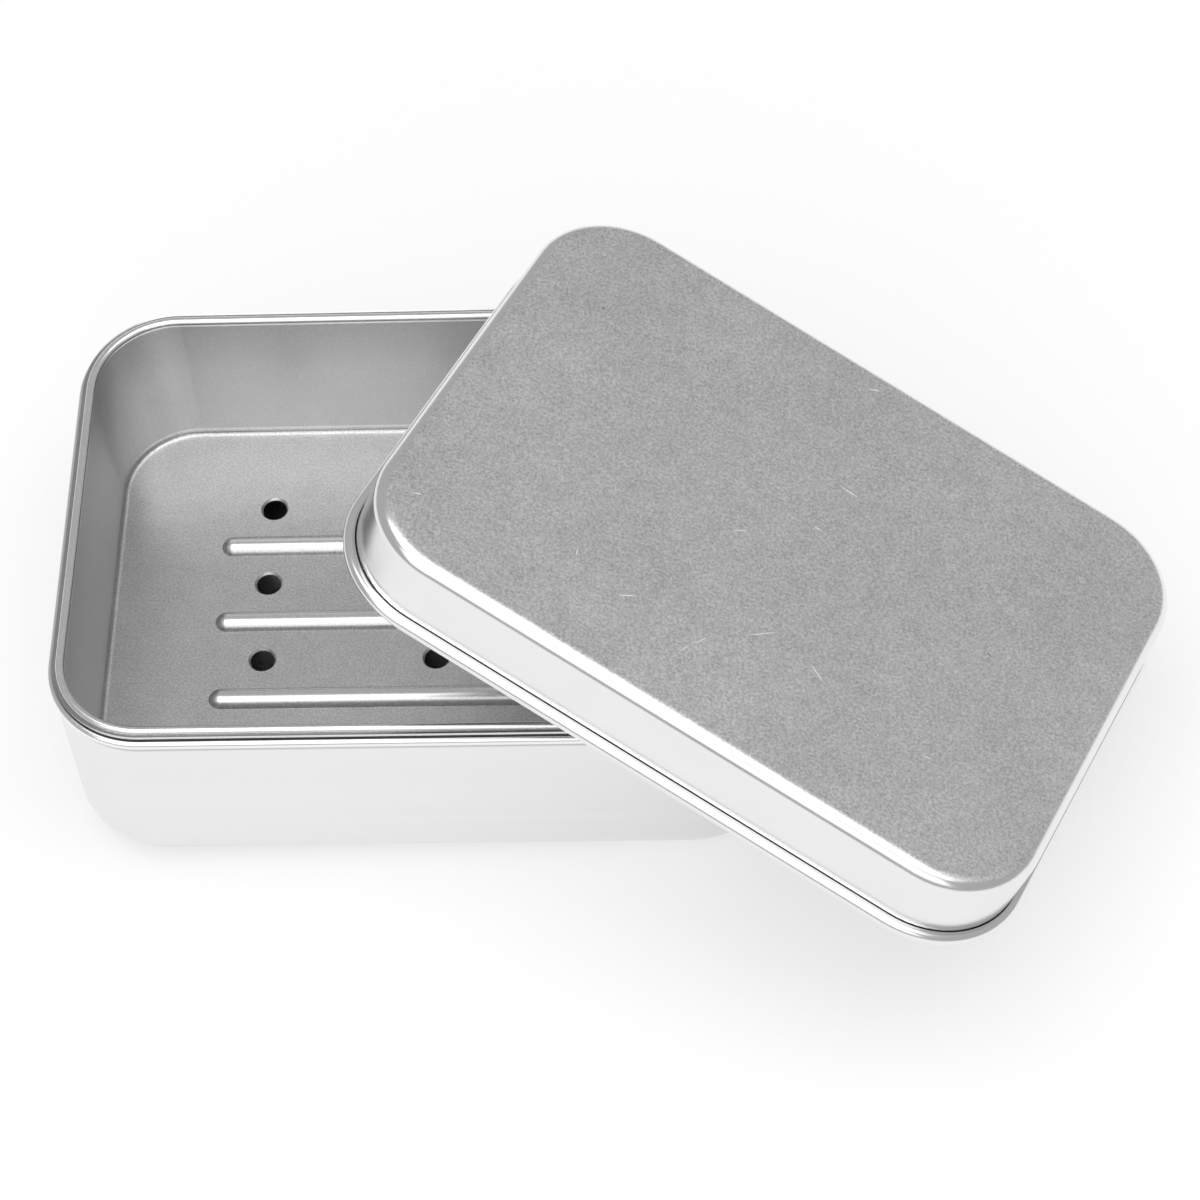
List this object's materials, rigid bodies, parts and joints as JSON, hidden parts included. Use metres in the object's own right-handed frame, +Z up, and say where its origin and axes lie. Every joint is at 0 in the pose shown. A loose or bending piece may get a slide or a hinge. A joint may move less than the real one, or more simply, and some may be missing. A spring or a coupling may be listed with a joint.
{
  "type": "travel soap box",
  "caption": "Round-cornered satin aluminium travel soap box: deep box, drain tray with ribs and holes hung in its mouth, and a slip-on lid, taken off and propped askew on the rim",
  "frame": {"origin": "Middle of the flat face that the box stands on.", "axes": "+X along the box's length towards the end over which the lid is propped, +Y towards its back, +Z up."},
  "size_m": [0.1669, 0.1144, 0.0743],
  "materials": {
    "box_aluminium": "satin",
    "tray_aluminium": "fine grained satin",
    "lid_aluminium": "fine grained satin, lightly scratched"
  },
  "bodies": {
    "box_body": {"box": "box_aluminium"},
    "tray_body": {"drain_tray": "tray_aluminium"},
    "lid_body": {"lid": "lid_aluminium"}
  },
  "joints": [
    {"name": "tray_lift", "type": "slide", "parent": "box_body", "child": "tray_body", "axis": [0, 0, 1], "range_m": [0, 0.06]},
    {"name": "lid_lift", "type": "slide", "parent": "tray_body", "child": "lid_body", "axis": [0, 0, 1], "range_m": [0, 0.08]}
  ]
}
